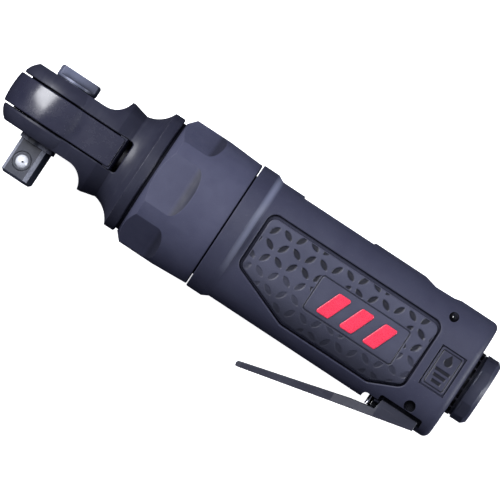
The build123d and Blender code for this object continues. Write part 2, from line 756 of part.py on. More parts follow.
def motor_housing():
    """Motor housing with its rim, grip pockets, lever recess and air passages."""
    top = [
        (60, 20.6 + 0.6),
        (78.8, BODY_HALF_Y),
        (78.9, 20.6),
        (105.0, 20.6),
        (105.2, BODY_HALF_Y),
        (124.0, BODY_HALF_Y),
        (128.2, 20.1),
        (135.0, 20.3),
        (137.5, 20.9),
        (160, 20.9),
    ]
    profile = side_plate(top + [(160, -30), (60, -30)], 30)
    grip = body_prism(0, BODY_FRONT, BODY_REAR) & profile
    grip = fillet(grip.edges().group_by(Axis.X)[-1], GRIP_END_ROUND)
    rim_face = Pos(RIM_FRONT, 0, 0) * (Plane.YZ * RectangleRounded(2 * RIM_RADIUS, 2 * RIM_RADIUS, 22.2))
    rim = extrude(rim_face, amount=RIM_REAR - RIM_FRONT, dir=(1, 0, 0))
    rim = chamfer(rim.edges().group_by(Axis.X)[0], EDGE_BREAK)
    back_face = Pos(RIM_REAR - RIM_FRONT, 0, 0) * rim_face
    grip_face = Pos(BODY_FRONT, 0, 0) * (Plane.YZ * body_section(0))
    bevel = loft([back_face.face(), grip_face.face()], ruled=True)
    spigot = rod_x(BARREL_RADIUS, SPIGOT_FRONT, RIM_FRONT + 1)
    body = spigot + rim + bevel + grip
    body -= rod_x(MOTOR_RADIUS, SPIGOT_FRONT - 1, MOTOR_SEAT)
    for side in (1, -1):
        body -= panel_shell(0, -3, PANEL_DEPTH, side)
    body = fillet(body.edges().filter_by(pocket_lip), POCKET_LIP)
    for side in (1, -1):
        low, high = sorted((side * (BODY_HALF_Z - 0.5), side * 25))
        body -= block((139.7, 148.75), (-7.8, 6.4), (low, high))
        body -= rod_z(1.9, *sorted((side * 12.6, side * 20)), *LEVER_PIVOT)
    body -= rod_z(LEVER_PIN_RADIUS, -20, 20, *LEVER_PIVOT)
    body -= rod_z(CROSS_PIN_RADIUS, -20, 20, *CROSS_PIN)
    body -= rounded_pocket((127.3, SADDLE_FRONT), (-30, -19.2), 1.3, 25)
    body -= rounded_pocket((SADDLE_FRONT - SADDLE_CLEARANCE, 147.8), (-30, -17.2), 0.8, 25)
    body += lever_tongue()
    ear_x = LEVER_PIVOT[0]
    body -= block((ear_x - 4.2, ear_x + 4.2), (-22, LEVER_PIVOT[1]), (-5.2, 5.2))
    body -= rod_z(3.6, -5.2, 5.2, *LEVER_PIVOT)
    body -= rod_y(VALVE_BORE, -22, 5.6, VALVE_X)
    body -= rod_x(5.0, VALVE_X, INLET_SEAT + 0.1)
    body -= rod_x(INLET_BODY_RADIUS, INLET_SEAT, BODY_REAR + 1)
    body -= rod_x(DEFLECTOR_RADIUS - 0.3, EXHAUST_FRONT, BODY_REAR + 1)
    body -= rod_x(1.8, MOTOR_SEAT - 1, VALVE_X, y=INTAKE_Y)
    for side in (1, -1):
        body -= rod_x(1.4, MOTOR_SEAT - 1, EXHAUST_FRONT + 1, y=EXHAUST_Y, z=side * EXHAUST_Z)
    return body


def grip_panel(side):
    """Soft grip panel set in the housing's pocket."""
    return panel_shell(PANEL_GROOVE, PANEL_SINK, PANEL_DEPTH, side)


def emblem(side):
    """Three slanted bars on the grip panel."""
    skin = body_prism(PANEL_SINK - 0.35, 71, 150) - body_prism(PANEL_SINK, 70, 151)
    bars = []
    for index in range(3):
        left = 100.6 + index * 8.6
        outline = [(left, -6.9), (left + 4.8, -6.9), (left + 8.4, 1.9), (left + 3.6, 1.9)]
        bar = extrude(Face(Wire.make_polygon([(x, y, 0) for x, y in outline])), amount=30)
        if side < 0:
            bar = mirror(bar, Plane.XY)
        bars.append(skin & bar)
    return Compound(children=bars)


def housing_pin(radius, centre, half_length):
    """Plain pin across the housing."""
    return rod_z(radius, -half_length, half_length, *centre)


def cross_pin():
    """Rolled spring pin across the upper rear of the housing."""
    pin = housing_pin(CROSS_PIN_RADIUS, CROSS_PIN, 13.8)
    return pin - rod_z(CROSS_PIN_BORE, -20, 20, *CROSS_PIN)


# ---- throttle ----
def on_lever(distance, height):
    """Point at a distance along the lever's underside from its tip, and a height above it."""
    along = (cos(LEVER_SLOPE), sin(LEVER_SLOPE))
    x = LEVER_TIP[0] + distance * along[0] - height * along[1]
    y = LEVER_TIP[1] + distance * along[1] + height * along[0]
    return (x, y)


def throttle_lever():
    """Formed lever with a wide saddle and two ears on the lever pin."""
    rear = (LEVER_REAR - LEVER_TIP[0]) / cos(LEVER_SLOPE)
    saddle_start = (SADDLE_FRONT - LEVER_TIP[0]) / cos(LEVER_SLOPE)
    side = side_plate(
        [
            on_lever(0, 0.2),
            on_lever(0.4, 0),
            on_lever(rear, 0),
            (LEVER_REAR, SADDLE_TOP),
            (SADDLE_FRONT, SADDLE_TOP),
            on_lever(saddle_start, LEVER_THICKNESS),
            on_lever(saddle_start - 8, LEVER_THICKNESS + LEVER_SWELL),
            on_lever(0.6, LEVER_TIP_THICKNESS),
            on_lever(0, LEVER_TIP_THICKNESS - 0.6),
        ],
        SADDLE_HALF,
    )
    tip_half = 5.0
    plan_points = [
        (LEVER_TIP[0] - 1, tip_half - 1.6),
        (LEVER_TIP[0] + 1.2, tip_half),
        (120.0, 6.5),
        (SADDLE_FRONT, SADDLE_HALF),
        (LEVER_REAR + 1, SADDLE_HALF),
    ]
    outline = [(x, 0, z) for x, z in plan_points] + [(x, 0, -z) for x, z in plan_points[::-1]]
    plan = extrude(Face(Wire.make_polygon(outline)), amount=60, both=True, dir=(0, 1, 0))
    lever = side & plan
    inside = side_plate(
        [
            on_lever(saddle_start + 0.6, LEVER_THICKNESS),
            on_lever(rear + 3, LEVER_THICKNESS),
            (LEVER_REAR + 3, SADDLE_TOP + 3),
            (SADDLE_FRONT - 3, SADDLE_TOP + 3),
            (SADDLE_FRONT - 3, SADDLE_TOP - 2),
        ],
        SADDLE_HALF - SADDLE_WALL,
    )
    lever -= inside

    def long_edge(edge):
        return edge.length > 6 and abs(edge.center().Z) > tip_half

    lever = fillet(lever.edges().filter_by(long_edge), LEVER_EDGE)
    x, y = LEVER_PIVOT
    for low, high in ((-4.9, -3.2), (3.2, 4.9)):
        ear = rod_z(3.2, low, high, x, y)
        ear += block((x - 3.2, x + 3.2), (-21.5, y), (low, high))
        lever += ear
    gusset = [
        on_lever(saddle_start, 0.5),
        (SADDLE_FRONT, -20.6),
        (TONGUE_FRONT, -20.6),
        on_lever(saddle_start - 2.2, 0.5),
    ]
    for low, high in ((-5.0, -2.2), (2.2, 5.0)):
        lever += Pos(0, 0, (low + high) / 2) * side_plate(gusset, (high - low) / 2)
    return lever - rod_z(LEVER_PIN_RADIUS + RUNNING, -20, 20, x, y)


def valve_bushing():
    """Pressed bushing with the valve's seat, its chamber and the stem's guide."""
    bushing = rod_y(VALVE_BORE, -19.0, VALVE_SEAT_Y, VALVE_X)
    bushing -= rod_y(VALVE_STEM_RADIUS + RUNNING, -20, 0, VALVE_X)
    bushing -= rod_y(2.1, -15.0, VALVE_SEAT_Y - 1.0, VALVE_X)
    bushing -= rod_y(1.6, -15.0, VALVE_SEAT_Y + 1.0, VALVE_X)
    return bushing - rod_x(1.4, VALVE_X - 5, VALVE_X, y=INTAKE_Y)


def valve_stem():
    """Stem from the lever up to the poppet."""
    stem = rod_y(VALVE_STEM_RADIUS, VALVE_STEM_END, VALVE_SEAT_Y + 0.5, VALVE_X)
    head = rod_y(2.3, VALVE_SEAT_Y + 0.05, VALVE_SEAT_Y + 1.2, VALVE_X)
    return stem + head


def valve_spring():
    """Spring that holds the poppet on its seat."""
    start = VALVE_SEAT_Y + 1.25
    spring = coil_spring(1.9, 0.25, 5.5 - start, 5)
    return Pos(VALVE_X, start, 0) * Rot(-90, 0, 0) * spring


# ---- air inlet and exhaust ----
def inlet_bushing():
    """Hexagonal inlet bushing with a pipe thread, drawn at its actual wall radius."""
    body = rod_x(INLET_BODY_RADIUS, INLET_SEAT + 0.1, HEX_FRONT)
    body += rod_x(10.8, HEX_FRONT - 0.6, HEX_FRONT + 0.4)
    round_end = turned_x(
        [
            (HEX_FRONT, 0),
            (HEX_FRONT, HEX_ROUND),
            (HEX_REAR - 1.3, HEX_ROUND),
            (HEX_REAR, HEX_ROUND - 1.3),
            (HEX_REAR, 0),
        ]
    )
    for index in range(6):
        flat = block((HEX_FRONT + 0.5, HEX_REAR + 1), (-12, 12), (HEX_APOTHEM, 20))
        round_end -= Rot(HEX_TURN + index * 60, 0, 0) * flat
    body += round_end
    body -= rod_x(THREAD_RADIUS, HEX_REAR - THREAD_LENGTH, HEX_REAR + 1)
    body -= rod_x(5.0, HEX_REAR - THREAD_LENGTH - 2, HEX_REAR)
    return body - rod_x(4.2, INLET_SEAT - 1, HEX_REAR)


def inlet_screen():
    """Dished screen at the bottom of the inlet's thread."""
    start = HEX_REAR - THREAD_LENGTH - 1.95
    screen = rod_x(4.9, start, start + 0.7)
    for ring, count in ((1.5, 5), (3.2, 10)):
        for index in range(count):
            angle = index * 2 * pi / count
            screen -= rod_x(0.45, start - 1, start + 2, y=ring * cos(angle), z=ring * sin(angle))
    return screen


def muffler_felt():
    """Felt ring in the exhaust chamber."""
    return tube_x(DEFLECTOR_RADIUS - 0.5, INLET_BODY_RADIUS + 0.1, EXHAUST_FRONT + 0.1, 147.2)


def exhaust_deflector():
    """Slotted ring that turns to aim the exhaust."""
    sleeve = rod_x(DEFLECTOR_RADIUS - 0.4, 147.5, BODY_REAR + 0.3)
    lip = rod_x(DEFLECTOR_RADIUS, BODY_REAR + 0.2, 153.3)
    ring = sleeve + lip - rod_x(INLET_BODY_RADIUS + 0.1, 147, 154)
    for index in range(9):
        slot = block((152.1, 153.0), (-1.6, 1.6), (9.2, 12))
        ring -= Rot(index * 20 - 80, 0, 0) * slot
    return ring


def build_pieces():
    """Every piece by node name, about the tool's own axis."""
    pieces = {
        "ratchet_head": ratchet_head(),
        "clamp_nut": clamp_nut(),
        "ring_gear": ring_gear(),
        "crank_bearing": crank_bearing(),
        "front_end_plate": front_end_plate(),
        "front_rotor_bearing": ball_bearing(PLATE_FRONT + 0.1, 4.2),
        "cylinder": cylinder(),
        "cylinder_dowel": cylinder_dowel(),
        "rear_end_plate": rear_end_plate(),
        "rear_rotor_bearing": ball_bearing(PLATE_REAR - 4.3, 4.2),
        "motor_gasket": motor_gasket(),
        "motor_housing": motor_housing(),
        "grip_panel_front": grip_panel(1),
        "grip_panel_back": grip_panel(-1),
        "emblem_front": emblem(1),
        "emblem_back": emblem(-1),
        "cross_pin": cross_pin(),
        "lever_pin": housing_pin(LEVER_PIN_RADIUS, LEVER_PIVOT, 12.4),
        "valve_bushing": valve_bushing(),
        "inlet_bushing": inlet_bushing(),
        "inlet_screen": inlet_screen(),
        "muffler_felt": muffler_felt(),
        "thrust_washer": thrust_washer(),
        "retaining_ring": retaining_ring(),
        "ratchet_yoke": ratchet_yoke(),
        "anvil": about_drive(anvil(), -DRIVE_TURN),
        "pawl_pin": about_drive(rod_y(1.2, -5.1, 7.5, PAWL_PIN_OFFSET), -DRIVE_TURN),
        "pawl": about_drive(pawl(), -DRIVE_TURN),
        "reverse_knob": reverse_knob(),
        "detent_plunger": about_drive(detent_plunger(), PLUNGER_TURN),
        "detent_spring": about_drive(detent_spring(), PLUNGER_TURN),
        "drive_ball": about_drive(drive_ball(), -DRIVE_TURN),
        "drive_ball_spring": about_drive(drive_ball_spring(), -DRIVE_TURN),
        "crankshaft": crankshaft(),
        "planet_pins": planet_pins(),
        "planet_retainer": planet_retainer(),
        "drive_bushing": drive_bushing(),
        "rotor": rotor(),
        "rotor_vanes": rotor_vanes(),
        "sun_pinion": sun_pinion(),
        "throttle_lever": throttle_lever(),
        "valve_stem": valve_stem(),
        "valve_spring": valve_spring(),
        "exhaust_deflector": exhaust_deflector(),
    }
    for index in range(PLANET_COUNT):
        pieces[f"planet_gear_{index + 1}"] = planet_gear(index)
    return pieces


def row_shift(pieces):
    """Move that puts the origin at the centre of the underside."""
    box = Compound(children=[Compound(p.solids()) for p in pieces.values()]).bounding_box()
    return Pos(-(box.min.X + box.max.X) / 2, -(box.min.Y + box.max.Y) / 2, -box.min.Z)


PIECES = build_pieces()
SHIFT = row_shift(PIECES)
os.makedirs("parts", exist_ok=True)
for name, piece in PIECES.items():
    export_step(SHIFT * Compound(piece.solids()), f"parts/{name}.step")
print("origin shift", SHIFT.position)
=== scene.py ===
import json
import math

import bpy
import numpy as np
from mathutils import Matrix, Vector


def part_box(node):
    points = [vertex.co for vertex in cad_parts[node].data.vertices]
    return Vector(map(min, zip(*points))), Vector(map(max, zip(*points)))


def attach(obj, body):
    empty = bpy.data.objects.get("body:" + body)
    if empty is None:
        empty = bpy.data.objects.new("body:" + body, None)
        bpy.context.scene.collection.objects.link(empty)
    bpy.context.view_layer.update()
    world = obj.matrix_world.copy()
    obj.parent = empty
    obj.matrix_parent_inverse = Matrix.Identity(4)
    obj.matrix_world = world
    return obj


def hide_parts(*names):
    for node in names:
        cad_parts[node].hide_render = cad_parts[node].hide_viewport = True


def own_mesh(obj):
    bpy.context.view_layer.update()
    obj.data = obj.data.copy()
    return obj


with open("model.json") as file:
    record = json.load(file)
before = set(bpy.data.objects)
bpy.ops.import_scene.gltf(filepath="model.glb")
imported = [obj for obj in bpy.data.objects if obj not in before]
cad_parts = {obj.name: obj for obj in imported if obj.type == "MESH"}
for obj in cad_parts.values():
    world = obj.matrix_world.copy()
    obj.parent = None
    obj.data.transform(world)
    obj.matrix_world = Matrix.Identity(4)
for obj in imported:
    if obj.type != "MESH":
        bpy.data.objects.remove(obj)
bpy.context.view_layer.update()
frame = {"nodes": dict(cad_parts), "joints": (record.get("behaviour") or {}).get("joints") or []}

# A small air ratchet. Shapes are given in millimetres about the tool's own axis: x runs from the
# drive axis back to the air inlet, y points to the reversing knob and z to the camera.
MM = 0.001
JOINTS = {joint["name"]: joint for joint in frame["joints"]}
DRIVE_X = JOINTS["drive_spin"]["pos_m"][0]
AXIS_Y, AXIS_Z = JOINTS["crank_spin"]["pos_m"][1:]

# ---- grip section, the same on the front and the back ----
GRIP_HALF_Y = 21.2
GRIP_HALF_Z = 18.4
GRIP_CORNER = 14.8
PANEL_TOP = -0.25
PANEL_FOOT = -1.05
PANEL_EDGE = 0.35
PANEL_CORNER = 2.5
PANEL_SHADOW = 0.45
PANEL_STEP = 0.18
PANEL_FRONT_CUT = (20.8, 7.9)
PANEL_REAR_CUT = (9.9, 4.5)

# ---- grip pattern ----
TREAD_PITCH = 4.5
TREAD_LENGTH = 4.0
TREAD_HALF_WIDTH = 0.85
TREAD_TURN = math.radians(12)
TREAD_DEPTH = 0.4
TREAD_WALL = 0.14
TREAD_GAP = (0.35, 0.7)
TREAD_FADE_Y = (-7.0, 1.0)
TREAD_FAINTEST = 0.4
PLATE_X = (96.9, 129.4)
PLATE_Y = (-8.4, 3.9)
PLATE_CORNER = 1.0
PLATE_LINE = 0.28
PLATE_LINE_DEPTH = 0.3

# ---- red emblem, three slanted bars ----
BAR_COUNT = 3
BAR_WIDTH = 4.8
BAR_SLANT = 3.6

# ---- service label, an oil drop over three stripes in a border ----
MARK_X = (140.1, 148.35)
MARK_Y = (-7.3, 6.0)
MARK_DEPTH = 0.2
BORDER_INSET = 0.75
BORDER_CORNER = 0.6
BORDER_LINE = (0.10, 0.25)
DROP_Y = 2.3
DROP_RADIUS = 1.35
DROP_TIP = 2.6
STRIPE_COUNT = 3
STRIPE_TOP = -1.0
STRIPE_PITCH = 1.9
STRIPE_HALF_WIDTH = 0.55
STRIPE_HALF_LENGTH = 2.7
STRIPE_TAPER = 0.5
STRIPE_CORNER = 0.3

# ---- where painted highlights, painted shade and a painted reflection change, in millimetres from the drive axis or from the tool's axis ----
BEVEL_RISE_X = (68.1, 69.3)
BEVEL_FALL_X = (71.2, 69.9)
BEVEL_FADE_Y = (-13.0, 1.0)
RUN_OUT_RISE_X = (45.4, 46.4)
RUN_OUT_FALL_X = (50.6, 49.9)
KNOB_SHADE_X = (-1.0, 6.5)
GRIP_SHADE_Y = (-3.0, -14.0)
DARK_REFLECTION_SPOT = (0.45, 0.25)

# ---- shares and reaches that all metals or all soft materials have in common ----
HIGHLIGHT_SHARE = 0.85
METAL_SHADE_SHARE = 0.6
METAL_DARK = 0.06
METAL_CREVICE_SHADE = (2.4, 0.85, 0.42)
METAL_ROUNDING = 0.22
SOFT_SHADE_SHARE = 0.62
SOFT_DARK = 0.08
SOFT_CREVICE_SHADE = (1.8, 0.80, 0.30)
SOFT_ROUNDING = 0.15
SOFT_RUBBED = 0.35
RECESS_SHARE = 0.94

# ---- mesh steps of a pad ----
CORNER_STEPS = 24
END_COLUMNS = 8
UNDER_ROWS = 12
EDGE_STEPS = 5
SAME_PLACE = 1e-6

# ---- springs ----
SPRING_WIRE = 0.25
CLOSED_TURNS = 2
COIL_STEPS = 28
WIRE_STEPS = 10

# ---- picture, in metres ----
CAMERA_DISTANCE = 3.0
CAMERA_X, CAMERA_Y = 0.0024, 0.0039
FRAME_WIDTH = 0.15625
CAMERA_ROLL = math.radians(33.4)
FLOOR_HALF = 12.0
FLOOR_DROP = 0.0002
HORIZON_LOW, HORIZON_HIGH = -0.25, 0.35
LAMP_TARGET_X = 0.06


def local_box(node):
    """A CAD node's box in millimetres about the tool's axis."""
    shift = Vector((DRIVE_X, AXIS_Y, AXIS_Z))
    low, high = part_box(node)
    return (low - shift) / MM, (high - shift) / MM


def new_object(name, data):
    """An object linked to the scene."""
    made = bpy.data.objects.new(name, data)
    bpy.context.scene.collection.objects.link(made)
    return made


# ---- materials ----
class Finish:
    """A principled material built from nodes in the object's own coordinates, in metres."""

    def __init__(self, name):
        self.material = bpy.data.materials.new(name)
        self.material.use_nodes = True
        self.tree = self.material.node_tree
        self.shader = self.tree.nodes["Principled BSDF"]
        self.place = self.add("ShaderNodeTexCoord").outputs["Object"]

    def add(self, kind, **settings):
        node = self.tree.nodes.new(kind)
        for key, value in settings.items():
            setattr(node, key, value)
        return node

    def feed(self, socket, value):
        if isinstance(value, bpy.types.NodeSocket):
            self.tree.links.new(value, socket)
        else:
            socket.default_value = value

    def set(self, **values):
        """Plain values on the shader's own sockets."""
        for name, value in values.items():
            self.shader.inputs[name.replace("_", " ")].default_value = value

    def drive(self, name, value):
        self.tree.links.new(value, self.shader.inputs[name])

    def stretched(self, scale):
        node = self.add("ShaderNodeMapping")
        self.tree.links.new(self.place, node.inputs["Vector"])
        node.inputs["Scale"].default_value = scale
        return node.outputs["Vector"]

    def noise(self, size_mm, detail=2.0, stretch=None, roughness=0.5, distortion=0.0):
        """Noise with blobs of about the given size."""
        node = self.add("ShaderNodeTexNoise")
        place = self.place if stretch is None else self.stretched(stretch)
        self.tree.links.new(place, node.inputs["Vector"])
        node.inputs["Scale"].default_value = 1.0 / (size_mm * MM)
        node.inputs["Detail"].default_value = detail
        node.inputs["Roughness"].default_value = roughness
        node.inputs["Distortion"].default_value = distortion
        return node.outputs["Fac"]

    def cells(self, size_mm, feature="F1"):
        node = self.add("ShaderNodeTexVoronoi", feature=feature)
        self.tree.links.new(self.place, node.inputs["Vector"])
        node.inputs["Scale"].default_value = 1.0 / (size_mm * MM)
        return node.outputs["Distance"]

    def spread(self, value, low, high, to_low=0.0, to_high=1.0):
        """Maps a value from one range to another, clamped."""
        node = self.add("ShaderNodeMapRange")
        self.tree.links.new(value, node.inputs["Value"])
        node.inputs["From Min"].default_value = low
        node.inputs["From Max"].default_value = high
        node.inputs["To Min"].default_value = to_low
        node.inputs["To Max"].default_value = to_high
        return node.outputs["Result"]

    def maths(self, operation, first, second):
        node = self.add("ShaderNodeMath", operation=operation)
        self.feed(node.inputs[0], first)
        self.feed(node.inputs[1], second)
        return node.outputs[0]

    def blend(self, factor, first, second):
        """Mix of two colours, each a tuple or a socket."""
        node = self.add("ShaderNodeMix", data_type="RGBA")
        self.feed(node.inputs["Factor"], factor)
        self.feed(node.inputs["A"], rgba(first))
        self.feed(node.inputs["B"], rgba(second))
        return next(s for s in node.outputs if s.type == "RGBA")

    def rounded(self, radius_mm):
        """Normal with the edges rounded off."""
        node = self.add("ShaderNodeBevel", samples=6)
        node.inputs["Radius"].default_value = radius_mm * MM
        return node.outputs["Normal"]

    def edges(self, radius_mm, start=0.03, end=0.22):
        """One on the edges of the shape and zero on its faces."""
        facing = self.add("ShaderNodeVectorMath", operation="DOT_PRODUCT")
        self.tree.links.new(self.rounded(radius_mm), facing.inputs[0])
        self.tree.links.new(self.add("ShaderNodeNewGeometry").outputs["Normal"], facing.inputs[1])
        away = self.maths("SUBTRACT", 1.0, facing.outputs["Value"])
        return self.spread(away, start, end)

    def crevices(self, reach_mm, start, end):
        """One in narrow gaps and corners, zero in the open."""
        node = self.add("ShaderNodeAmbientOcclusion", samples=6)
        node.inputs["Distance"].default_value = reach_mm * MM
        return self.spread(node.outputs["AO"], start, end)

    def across(self, axis, low_mm, high_mm):
        """Rises from zero to one between two places along the tool's own x or y axis."""
        node = self.add("ShaderNodeSeparateXYZ")
        self.tree.links.new(self.place, node.inputs["Vector"])
        origin = {"X": DRIVE_X, "Y": AXIS_Y}[axis]
        return self.spread(node.outputs[axis], origin + low_mm * MM, origin + high_mm * MM)

    def turned_to(self, direction):
        """How far the surface faces a direction in the object's own frame, from -1 to 1."""
        part = self.add("ShaderNodeVectorMath", operation="DOT_PRODUCT")
        self.tree.links.new(self.add("ShaderNodeTexCoord").outputs["Normal"], part.inputs[0])
        part.inputs[1].default_value = tuple(direction)
        return part.outputs["Value"]

    def bump(self, height, depth_mm, normal=None):
        node = self.add("ShaderNodeBump")
        node.inputs["Distance"].default_value = depth_mm * MM
        self.tree.links.new(height, node.inputs["Height"])
        if normal is not None:
            self.tree.links.new(normal, node.inputs["Normal"])
        return node.outputs["Normal"]


def rgba(colour):
    return colour if isinstance(colour, bpy.types.NodeSocket) else (*colour, 1.0)


def metal(
    name,
    colour,
    shade,
    worn=(0.30, 0.31, 0.34),
    metallic=0.0,
    rough=0.35,
    rough_swing=0.10,
    cloud_mm=9.0,
    grain_mm=0.35,
    grain_depth=0.010,
    stretch=None,
    wear=0.5,
    wear_mm=0.45,
    level=0.5,
    speckle=0.12,
    highlight_band=None,
    highlight_colour=(0.13, 0.14, 0.20),
    dim=None,
):
    """Machined or coated metal: clouded colour, fine grain and bare metal along worn edges, with
    painted shade in narrow gaps and corners.
    """
    finish = Finish(name)
    clouds = finish.spread(finish.noise(cloud_mm, 4.0, distortion=0.4), 0.3, 0.7)
    grain = finish.noise(grain_mm, 3.0, stretch)
    chips = finish.spread(finish.noise(1.6, 5.0, roughness=0.7), 0.42, 0.62)
    edges = finish.maths("MULTIPLY", finish.edges(wear_mm), chips)
    bare = finish.maths("MULTIPLY", edges, wear)
    coat = finish.blend(clouds, colour, shade)
    speckled = finish.blend(finish.spread(grain, 0.62, 0.85, 0.0, speckle), coat, worn)
    # Painted highlight: a lighter colour laid where the band's mask is one.
    if highlight_band is not None:
        highlit = finish.maths("MULTIPLY", highlight_band(finish), HIGHLIGHT_SHARE)
        speckled = finish.blend(highlit, speckled, highlight_colour)
    # Painted shade: the colour darkens and the reflection weakens in narrow gaps and corners.
    crevice_shade = finish.crevices(*METAL_CREVICE_SHADE)
    dark = tuple(value * METAL_DARK for value in colour)
    # Painted shade: the colour darkens where the dim mask is one.
    if dim is not None:
        painted_shade = finish.maths("MULTIPLY", dim(finish), METAL_SHADE_SHARE)
        speckled = finish.blend(painted_shade, speckled, dark)
    finish.drive("Base Color", finish.blend(crevice_shade, finish.blend(bare, speckled, worn), dark))
    roughness = finish.spread(grain, 0.25, 0.75, rough - rough_swing, rough + rough_swing)
    patches = finish.spread(finish.noise(4.0, 3.0), 0.3, 0.7, -0.05, 0.05)
    finish.drive("Roughness", finish.maths("ADD", roughness, patches))
    if metallic < 1.0:
        finish.drive("Metallic", finish.spread(bare, 0.0, 1.0, metallic, 1.0))
    else:
        finish.set(Metallic=1.0)
    finish.drive("Normal", finish.bump(grain, grain_depth, finish.rounded(METAL_ROUNDING)))
    finish.drive("Specular IOR Level", finish.spread(crevice_shade, 0.0, 1.0, level, 0.04))
    return finish.material


def painted_bevel_highlight(finish):
    """Painted highlight on the housing's bevel behind its rim, brightest on the knob's side."""
    rise = finish.across("X", *BEVEL_RISE_X)
    fall = finish.across("X", *BEVEL_FALL_X)
    fade = finish.across("Y", *BEVEL_FADE_Y)
    return finish.maths("MULTIPLY", finish.maths("MULTIPLY", rise, fall), fade)


def rubbed_corner_highlight(finish):
    """The square drive's four corners, which sockets rub bright, painted lighter still as a
    highlight.
    """
    press = Vector(JOINTS["drive_ball_press"]["axis"])
    aside = press.cross(Vector((0, 1, 0)))
    both = finish.maths("MULTIPLY", finish.turned_to(press), finish.turned_to(aside))
    corner = finish.maths("ABSOLUTE", both, 0.0)
    scuffs = finish.spread(finish.noise(0.6, 4.0), 0.3, 0.6, 0.55, 1.0)
    return finish.maths("MULTIPLY", finish.spread(corner, 0.25, 0.42), scuffs)


def run_out_painted_shade(finish):
    """Painted shade on the rounded ends of the nut's flats, where they face the head."""
    rise = finish.across("X", *RUN_OUT_RISE_X)
    fall = finish.across("X", *RUN_OUT_FALL_X)
    ends = finish.spread(finish.turned_to((1, 0, 0)), -0.05, -0.35)
    return finish.maths("MULTIPLY", finish.maths("MULTIPLY", rise, fall), ends)


def knob_painted_shade(finish):
    """Painted shade that darkens the rear half of the knob."""
    return finish.across("X", *KNOB_SHADE_X)


# Stretch of a grain: the smaller a number, the longer the grain that way.
ROUND_TOOL = (1.0, 0.04, 0.04)
ALONG_TOOL = (0.06, 1.0, 1.0)
ROUND_FITTING = (1.0, 0.05, 0.05)
ALONG_DRIVE = (1.0, 0.08, 1.0)


def head_steel():
    """Blackened and oiled forged steel."""
    return metal("head_steel_oiled", (0.0145, 0.015, 0.027), (0.0235, 0.0245, 0.039), rough=0.42,
                 level=0.30, grain_mm=0.6, grain_depth=0.02, stretch=ROUND_TOOL, wear=0.30,
                 speckle=0.05)


def yoke_steel():
    """Blackened ratchet yoke, polished by use."""
    return metal("yoke_steel_polished", (0.015, 0.0155, 0.030), (0.022, 0.0225, 0.038), rough=0.25,
                 rough_swing=0.03, level=0.75, grain_mm=0.6, grain_depth=0.002, wear=0.25,
                 speckle=0.0)


def nut_finish():
    """Satin black coating on the turned clamp nut, with painted shade on the ends of its flats."""
    return metal("nut_satin_coat", (0.042, 0.044, 0.076), (0.050, 0.052, 0.086), rough=0.58,
                 grain_mm=0.30, level=0.28, wear=0.22, cloud_mm=5.0, dim=run_out_painted_shade)


def housing_finish():
    """Fine textured dark blue-grey coating on the cast housing, with a painted highlight on the
    bevel behind its rim.
    """
    return metal("housing_textured_coat", (0.027, 0.028, 0.050), (0.033, 0.0345, 0.058), rough=0.52,
                 rough_swing=0.08, grain_mm=0.40, grain_depth=0.016, level=0.32, wear=0.14,
                 highlight_band=painted_bevel_highlight)


def knob_steel():
    """Lighter phosphated steel, with painted shade on the knob's rear half."""
    return metal("knob_phosphated_steel", (0.09, 0.10, 0.15), (0.12, 0.13, 0.19), metallic=0.25,
                 rough=0.38, grain_mm=0.30, wear=0.6, level=0.6, dim=knob_painted_shade)


def drive_steel():
    """Oiled black square drive with rubbed corners, painted lighter still as a highlight."""
    return metal("drive_oiled_steel", (0.018, 0.021, 0.032), (0.026, 0.029, 0.042), rough=0.38,
                 rough_swing=0.05, wear=0.7, wear_mm=0.5, level=0.20, stretch=ALONG_DRIVE,
                 highlight_band=rubbed_corner_highlight, highlight_colour=(0.24, 0.25, 0.30))


def ball_steel():
    """Satin ball with a small painted dark reflection in the middle of its top."""
    finish = Finish("ball_satin_steel")
    low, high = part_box("drive_ball")
    centre = (low + high) / 2
    # Painted reflection: a dark spot at the top of the ball.
    spot = finish.add("ShaderNodeVectorMath", operation="DISTANCE")
    finish.tree.links.new(finish.stretched((1.0, 1.0, 0.0)), spot.inputs[0])
    spot.inputs[1].default_value = (centre.x, centre.y, 0.0)
    mark = finish.spread(spot.outputs["Value"], DARK_REFLECTION_SPOT[0] * MM, DARK_REFLECTION_SPOT[1] * MM)
    grain = finish.noise(0.3, 3.0)
    shine = finish.blend(grain, (0.66, 0.68, 0.72), (0.80, 0.82, 0.86))
    finish.drive("Base Color", finish.blend(mark, shine, (0.03, 0.03, 0.04)))
    finish.drive("Roughness", finish.spread(grain, 0.3, 0.7, 0.25, 0.40))
    finish.set(Metallic=0.3)
    finish.drive("Normal", finish.bump(grain, 0.003))
    return finish.material


def pin_steel():
    """Black hardened pins."""
    return metal("pin_black_steel", (0.010, 0.010, 0.016), (0.016, 0.016, 0.024), rough=0.30,
                 level=0.5, wear=0.4)


def bright_steel():
    """Ground bare steel."""
    return metal("bright_ground_steel", (0.62, 0.63, 0.66), (0.50, 0.51, 0.54), metallic=1.0,
                 rough=0.22, rough_swing=0.06, grain_depth=0.003, wear=0.2)


def lever_steel():
    """Blackened spring steel plate."""
    return metal("lever_black_plate", (0.018, 0.0185, 0.028), (0.025, 0.026, 0.038), rough=0.48,
                 stretch=ALONG_TOOL, wear=0.8, wear_mm=0.5, level=0.22)


def inlet_steel():
    """Blackened hexagonal bushing."""
    return metal("inlet_black_steel", (0.030, 0.0315, 0.052), (0.040, 0.042, 0.066), rough=0.40,
                 level=0.5, stretch=ROUND_FITTING, wear=0.6)


def gear_steel():
    """Case-hardened gear steel with an oily sheen."""
    return metal("gear_hardened_steel", (0.27, 0.26, 0.25), (0.36, 0.35, 0.34), metallic=0.9,
                 rough=0.34, wear=0.4)


